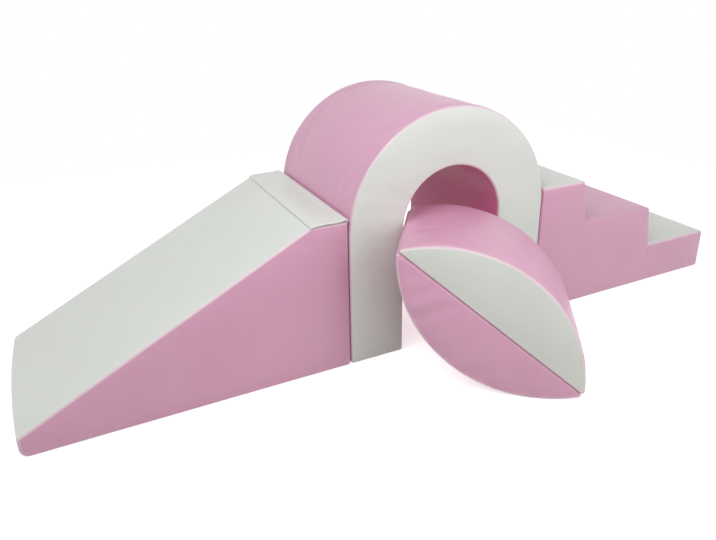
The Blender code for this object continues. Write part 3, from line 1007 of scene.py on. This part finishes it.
def on_tape(tape, flat_point, height):
    """The place of a point of a tape, this high above its sewn side."""
    side = tape.out.cross(tape.along)
    at = tape.middle + flat_point.x * tape.along + flat_point.y * side + height * tape.out
    return tape.frame @ at


print(len(tapes), "tapes")

# %% [markdown]
# ## Letting the cover settle on the foam
# Foam is cut a little too large for its cover, so it presses every free panel outwards between its
# seams. Blender's cloth solver finds how a panel rises from its pinned seams under a slight
# pressure from inside. It knows nothing of the foam, and would lift the three largest free panels
# by 22 to 29 mm. So each point's move is capped, at a given height, and the middle of a large
# panel stands at that cap.

# %% Swelling
CLOTH_QUALITY = 4
CLOTH_MASS = 0.5
PRESSURE = 4.0
SPARE_SHARE = 0.004
SWELL_FRAMES = 20
SWELL_CAP = 0.0045
PIN_GAP = 0.0040
QUICK_RISE = 0.03


def joined(parts):
    """The points and faces of surfaces, each in its own frame, as one mesh."""
    points, faces = [], []
    for place, surface in parts:
        first = len(points)
        points += [place @ point for point in surface.points]
        faces += [tuple(first + corner for corner in face) for face in surface.faces]
    return points, faces


def simulated_moves(loose):
    """How far the cloth solver moves each point of these panels."""
    points, faces = joined((panel.block.frame, panel.surface) for panel in loose)
    gaps = [gap for panel in loose for gap in panel.surface.gaps]
    mesh = bpy.data.meshes.new("swelling")
    mesh.from_pydata(points, [], faces)
    skin = link_object("swelling", mesh)
    pins = skin.vertex_groups.new(name="pins")
    pins.add([i for i, gap in enumerate(gaps) if gap < PIN_GAP], 1.0, "REPLACE")
    cloth = skin.modifiers.new("cloth", "CLOTH")
    cloth.settings.quality = CLOTH_QUALITY
    cloth.settings.mass = CLOTH_MASS
    cloth.settings.vertex_group_mass = "pins"
    cloth.settings.use_pressure = True
    cloth.settings.uniform_pressure_force = PRESSURE
    cloth.settings.shrink_min = -SPARE_SHARE
    cloth.settings.shrink_max = -SPARE_SHARE
    cloth.settings.effector_weights.gravity = 0.0
    cloth.collision_settings.use_collision = False
    cloth.collision_settings.use_self_collision = False
    cloth.point_cache.frame_start = 1
    cloth.point_cache.frame_end = SWELL_FRAMES
    for step in range(1, SWELL_FRAMES + 1):
        bpy.context.scene.frame_set(step)
    settled = skin.evaluated_get(bpy.context.evaluated_depsgraph_get()).data
    moves = [after.co - before for after, before in zip(settled.vertices, points)]
    bpy.context.scene.frame_set(1)
    bpy.data.objects.remove(skin)
    bpy.data.meshes.remove(mesh)
    return moves


def capped(move):
    """The same move, eased so that it never passes the cap."""
    length = move.length
    return move * (SWELL_CAP * math.tanh(length / SWELL_CAP) / length) if length > SAME else move


def skin_of(parts):
    """A tree of surfaces, for finding what stands close to a point."""
    return BVHTree.FromPolygons(*joined(parts))


def tape_skin():
    """The sewn sides of all tapes, as flat plates."""
    points, faces = [], []
    for tape in tapes:
        ring = [on_tape(tape, point, CLEARANCE) for point in tape_outline(tape, 0.0)]
        faces.append(list(range(len(points), len(points) + len(ring))))
        points += ring
    return BVHTree.FromPolygons(points, faces)


ROOM_REACH = 0.006
SKINS = {
    block.body: skin_of((block.frame, panel.surface) for panel in panels if panel.block == block)
    for block in BLOCKS
}
SKINS["connecting_flap"] = skin_of([(FLAP_FRAME, flap)])
SKINS["tapes"] = tape_skin()


def room(point, body):
    """How far a cover may move here before it has taken half of the way to its neighbour."""
    free = ROOM_REACH
    for other, skin in SKINS.items():
        if other != body:
            distance = skin.find_nearest(point, 3 * ROOM_REACH)[3]
            if distance is not None:
                free = min(free, (distance - CLEARANCE) / 2)
    return max(0.0, free)


loose_panels = [panel for panel in panels if panel.loose]
moves = simulated_moves(loose_panels)
longest = max(move.length for move in moves)
swelling, first = {}, 0
for panel in loose_panels:
    count = len(panel.surface.points)
    swelling[panel.node] = [capped(move) for move in moves[first : first + count]]
    first += count
print("longest move before the cap:", round(longest * 1000, 1), "mm")

# %% [markdown]
# ## Puckers
# Sewing gathers a cover a little, so its edge is never quite straight: soft dents run in from each
# seam and fade within a hand's width, and broader ones lie all over. Noise gives both, and the
# seams themselves stay where they are. Three faces of the half moons have deeper folds as well, of
# the photograph's kind but not in its exact places.

# %% Puckers
PUCKER_SIZE = 0.045
PUCKER_REACH = 0.035
PUCKER_HEIGHT = 0.0009
DENT_SIZE = 0.14
DENT_HEIGHT = 0.0014
FADE_IN = 0.010
NOISE_STEPS = (7.3, 3.1, 5.7)


def pucker(point, gap, seed):
    """How far noise lifts a point of a cover, along its outward direction."""
    offset = Vector([seed * step for step in NOISE_STEPS])
    near = noise.noise(point / PUCKER_SIZE + offset) * PUCKER_HEIGHT * math.exp(-gap / PUCKER_REACH)
    broad = noise.noise(point / DENT_SIZE + offset) * DENT_HEIGHT
    return (near + broad) * min(1.0, gap / FADE_IN)


FOLD_WIDTH = 0.034
FOLD_LENGTH = 0.13
FOLD_REACH = 0.075
FOLD_HEIGHT = 0.0075
FOLD_NOISE_STEP = 4.7


def fold(point, gap, seed):
    """Soft folds on a half moon's face, which run in from its curve."""
    inward = MOON_RADIUS - math.hypot(point.x, point.z)
    along = MOON_RADIUS * math.atan2(point.x, point.z)
    wave = noise.noise(Vector((along / FOLD_WIDTH, inward / FOLD_LENGTH, seed * FOLD_NOISE_STEP)))
    return FOLD_HEIGHT * wave * math.exp(-inward / FOLD_REACH) * min(1.0, gap / FADE_IN)


print("puckers up to", PUCKER_HEIGHT * 1000, "mm, folds up to", FOLD_HEIGHT * 1000, "mm")

# %% [markdown]
# ## Sewing the panels
# Now each panel becomes an object. Its points take the swelling and the puckers, a Solidify
# modifier gives the vinyl its thickness towards the foam, and the panel rides on the body of its
# block, while the plain solid of the imported model is hidden.

# %% Make the panels
def smooth_mesh(name, points, faces):
    mesh = bpy.data.meshes.new(name)
    mesh.from_pydata(points, [], faces)
    mesh.update()
    mesh.shade_smooth()
    return mesh


def add_object(name, mesh, finish, body):
    made = link_object(name, mesh)
    made.data.materials.append(finish)
    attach(made, body)
    return made


def thicken(made, thick, offset):
    """Thickness all under the surface for an offset of -1, and half on each side for 0."""
    layer = made.modifiers.new("thickness", "SOLIDIFY")
    layer.thickness = thick
    layer.offset = offset


FOLDED = ("lower_half_moon_near_face", "lower_half_moon_far_face", "upper_half_moon_far_face")


def has_band(panel, other):
    """A painted highlight, a pale band, shows where white meets pink, and where a half moon's face
    meets its curve.
    """
    pair = panel.node + other.node
    return panel.finish != other.finish or ("curved_cover" in pair and "_face" in pair)


def border_gaps(panel, points):
    """How far each point of a panel is from the nearest panel that it shares a painted highlight
    band with.
    """
    others = [
        (other.block.frame, other.surface)
        for other in panels
        if other.block == panel.block and has_band(panel, other)
    ]
    if not others:
        return [NO_SEAM_NEAR] * len(points)
    tree = skin_of(others)
    found = (tree.find_nearest(point, NO_SEAM_NEAR)[3] for point in points)
    return [NO_SEAM_NEAR if distance is None else distance for distance in found]


def number_points(mesh, name, values):
    """Stores one number for each point of a mesh, for its material to read."""
    mesh.attributes.new(name, "FLOAT", "POINT").data.foreach_set("value", values)


def quick_swell(gap):
    return SWELL_CAP * (1 - math.exp(-max(0.0, gap - PIN_GAP) / QUICK_RISE))


def settle(panel, seed, points, mesh):
    """Moves the points of a free panel outwards, as far as its neighbours leave room."""
    moves = swelling.get(panel.node)
    for i, vertex in enumerate(mesh.vertices):
        at, gap = panel.surface.points[i], panel.surface.gaps[i]
        normal = vertex.normal.copy()
        lift = pucker(at, gap, seed)
        if panel.node in FOLDED:
            lift += fold(at, gap, seed)
        move = (moves[i] if moves else normal * quick_swell(gap)) + normal * lift
        free = room(points[i], panel.block.body)
        points[i] = points[i] + move * min(1.0, free / max(move.length, SAME))
        points[i].z = max(0.0, points[i].z)
    for vertex, point in zip(mesh.vertices, points):
        vertex.co = point
    mesh.update()


def sew_panel(panel, seed):
    points = [panel.block.frame @ point for point in panel.surface.points]
    name = panel.node + "_panel"
    mesh = smooth_mesh(name, points, panel.surface.faces)
    number_points(mesh, SEAM_NUMBER, panel.surface.gaps)
    number_points(mesh, BORDER_NUMBER, border_gaps(panel, points))
    if panel.loose:
        settle(panel, seed, points, mesh)
    # The tunnel lining takes the darker pink, which is painted shade.
    finish = tunnel_shade_leather if panel.node == "arch_tunnel_lining" else LEATHERS[panel.finish]
    made = add_object(name, mesh, finish, panel.block.body)
    thicken(made, COVER_THICK, -1.0)
    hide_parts(panel.node)
    panel.block.body + "_foam"


for seed, panel in enumerate(panels):
    sew_panel(panel, seed)
print("sewn:", len(panels))

# %% [markdown]
# ## Foam cores
# Under each cover is a block of foam. It has the same outline, drawn in by the thickness of the
# cover, and can be coarse because it never shows.

# %% Make the foam
CORE_TURNS = (0.0, math.pi / 4, math.pi / 2)
CORE_SHARP = math.radians(30)


def make_core(block):
    samples = ring_of(block.outline(CORE_STEP))
    count = len(samples)
    under = CORE_INSET + SEAM_DIP
    points = []
    for turns, far in ((CORE_TURNS, False), (CORE_TURNS[::-1], True)):
        for turn in turns:
            for sample in samples:
                points.append(block.frame @ over_edge(sample, turn, under, block.depth, far))
    faces = [tuple(range(count)), tuple(reversed(range(len(points) - count, len(points))))]
    faces += [(a, d, c, b) for a, b, c, d in ring_faces(2 * len(CORE_TURNS), count)]
    mesh = smooth_mesh(block.body + "_foam", points, faces)
    mesh.set_sharp_from_angle(angle=CORE_SHARP)
    core = add_object(block.body + "_foam", mesh, foam, block.body)
    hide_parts(block.body + "_foam_core")


for block in BLOCKS:
    make_core(block)
print("cores:", len(BLOCKS))

# %% [markdown]
# ## The flap and the tapes
# The flap is its sheet with a Solidify modifier for its two layers. Each tape is a low plate with a
# softened rim, held by a row of stitches: short threads that stand a little proud of the tape, all
# round and close to its edge.

# %% Make the flap and the tapes
TAPE_RIM = 0.0004
STITCH_INSET = 0.003
STITCH_PITCH = 0.005
STITCH_LENGTH = 0.0034
STITCH_RADIUS = 0.00028


def make_flap():
    mesh = smooth_mesh("flap_sheet", [FLAP_FRAME @ point for point in flap.points], flap.faces)
    number_points(mesh, SEAM_NUMBER, flap.gaps)
    number_points(mesh, BORDER_NUMBER, flap.gaps)
    made = add_object("flap_sheet", mesh, white_leather, "connecting_flap")
    thicken(made, FLAP_SHEET, 0.0)
    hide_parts("connecting_flap")


def stitch_points(outline):
    """The middle and the direction of each stitch round an outline."""
    found, spare = [], 0.0
    for a, b in zip(outline, outline[1:] + outline[:1]):
        length = (b - a).length
        at = STITCH_PITCH - spare
        while at < length:
            found.append((a.lerp(b, at / length), (b - a).normalized()))
            at += STITCH_PITCH
        spare = (spare + length) % STITCH_PITCH
    return found


def make_tape(tape):
    points = []
    rings = (
        (0.0, CLEARANCE),
        (0.0, CLEARANCE + STRIP_THICK - TAPE_RIM),
        (TAPE_RIM, CLEARANCE + STRIP_THICK),
    )
    for inset, height in rings:
        points += [on_tape(tape, point, height) for point in tape_outline(tape, inset)]
    count = len(points) // len(rings)
    faces = ring_faces(len(rings), count)
    faces.append(tuple(range(count - 1, -1, -1)))
    faces.append(tuple(range(2 * count, 3 * count)))
    plain = len(faces)
    top = CLEARANCE + STRIP_THICK - STITCH_RADIUS / 2
    for middle, along in stitch_points(tape_outline(tape, STITCH_INSET)):
        first = len(points)
        side = Vector((-along.y, along.x))
        ends = (middle - along * STITCH_LENGTH / 2, middle + along * STITCH_LENGTH / 2)
        points += [on_tape(tape, end, top - STITCH_RADIUS) for end in ends]
        points += [
            on_tape(tape, middle - side * STITCH_RADIUS, top - STITCH_RADIUS / 2),
            on_tape(tape, middle, top + STITCH_RADIUS),
            on_tape(tape, middle + side * STITCH_RADIUS, top - STITCH_RADIUS / 2),
        ]
        start, end, left, peak, right = range(first, first + 5)
        faces += [(start, right, peak), (start, peak, left), (end, peak, right), (end, left, peak)]
        faces += [(start, left, end, right)]
    name, finish = tape.node + "_tape", tape.kind + "_tape"
    mesh = bpy.data.meshes.new(name)
    mesh.from_pydata(points, [], faces)
    made = add_object(name, mesh, tape_finishes[finish], tape.body)
    mesh.materials.append(tape_finishes["thread"])
    for face in mesh.polygons[plain:]:
        face.material_index = 1
    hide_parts(tape.node)


make_flap()
for tape in tapes:
    make_tape(tape)
print("flap and", len(tapes), "tapes made")

# %% [markdown]
# ## Floor and light
# The photograph was cut out on white. The floor glows a little, but only where it is seen, straight
# on or in a reflection, so that open floor is all but white and the lamps' own shadow still shows
# close to the blocks. For the light it is a warm middle grey, or the blocks would glow from below.
# The lamps are large and soft. The places of those in front came from rendering each of many alone
# and finding the mix nearest to the photograph, with some soft light from all round held in it.
# Their powers started from that mix and were then trimmed. The photograph says nothing about
# the back, so two low ones light that side. They leave no shine, because from in front they would
# gleam along the slope.

# %% Floor
FLOOR_HALF = 2.2
FLOOR_SEEN = (0.95, 0.95, 0.95)
FLOOR_GLOW = (0.63, 0.63, 0.63)
FLOOR_BOUNCE = (0.42, 0.40, 0.36)
FLOOR_ROUGHNESS = 0.9
BLACK = (0.0, 0.0, 0.0)


def make_floor():
    corners = [(-1, -1), (1, -1), (1, 1), (-1, 1)]
    points = [(x * FLOOR_HALF, y * FLOOR_HALF, 0.0) for x, y in corners]
    mesh = bpy.data.meshes.new("floor")
    mesh.from_pydata(points, [], [(0, 1, 2, 3)])
    floor = link_object("floor", mesh)
    shader = new_shader("floor")
    shown = shader.shown()
    colour = shader.blend(shown, opaque(FLOOR_BOUNCE), opaque(FLOOR_SEEN))
    glow = shader.blend(shown, opaque(BLACK), opaque(FLOOR_GLOW))
    shader.finish(
        Base_Color=colour, Roughness=FLOOR_ROUGHNESS, Emission_Color=glow, Emission_Strength=1.0
    )
    mesh.materials.append(shader.owner)


make_floor()
print("floor is", 2 * FLOOR_HALF, "m across")

# %% World and lamps
WORLD_STRENGTH = 0.30
LAMP_TARGET = Vector((0.0, 0.2, 0.3))
LAMPS = {
    "left_high": (-75, 50, 3.2, 2.0, 33.5),
    "right_low": (35, 15, 3.2, 2.0, 23.5),
    "near_left": (-30, 40, 1.7, 1.0, 5.6),
    "near_front": (10, 40, 1.7, 1.0, 3.5),
}
BACK_LAMPS = {
    "back_right": (150, 6, 3.2, 1.0, 24.0),
    "back_left": (-160, 6, 3.2, 1.0, 6.0),
}


def make_world():
    world = bpy.data.worlds.new("studio")
    shader = Shader(world)
    light = shader.tree.nodes["Background"]
    plain = opaque((1.0, 1.0, 1.0))
    shader.fill(light, {"Color": plain, "Strength": WORLD_STRENGTH})
    white = shader.add("ShaderNodeBackground", inputs={"Color": plain, "Strength": 1.0})
    sockets = {0: shader.shown(), 1: Wire(shader, light.outputs[0]), 2: white}
    mixed = shader.add("ShaderNodeMixShader", inputs=sockets)
    shader.fill(shader.tree.nodes["World Output"], {"Surface": mixed})
    bpy.context.scene.world = world


def make_lamp(name, place, size, power):
    data = bpy.data.lights.new(name, "AREA")
    data.shape = "DISK"
    data.size = size
    data.energy = power
    lamp = link_object(name, data)
    lamp.location = place
    lamp.rotation_euler = (LAMP_TARGET - place).to_track_quat("-Z", "Y").to_euler()
    return lamp


def lamp_place(azimuth, elevation, distance):
    """A place round the target, by degrees to the right of straight in front and degrees up."""
    turn, rise = math.radians(azimuth), math.radians(elevation)
    level = Vector((math.sin(turn), -math.cos(turn), 0.0)) * math.cos(rise)
    return LAMP_TARGET + distance * (level + math.sin(rise) * UP)


make_world()
for name, (azimuth, elevation, distance, size, power) in {**LAMPS, **BACK_LAMPS}.items():
    lamp = make_lamp(name, lamp_place(azimuth, elevation, distance), size, power)
    lamp.visible_glossy = name in LAMPS
bpy.context.scene.view_settings.view_transform = "Standard"
print("world", WORLD_STRENGTH, "and lamps", list(LAMPS), list(BACK_LAMPS))
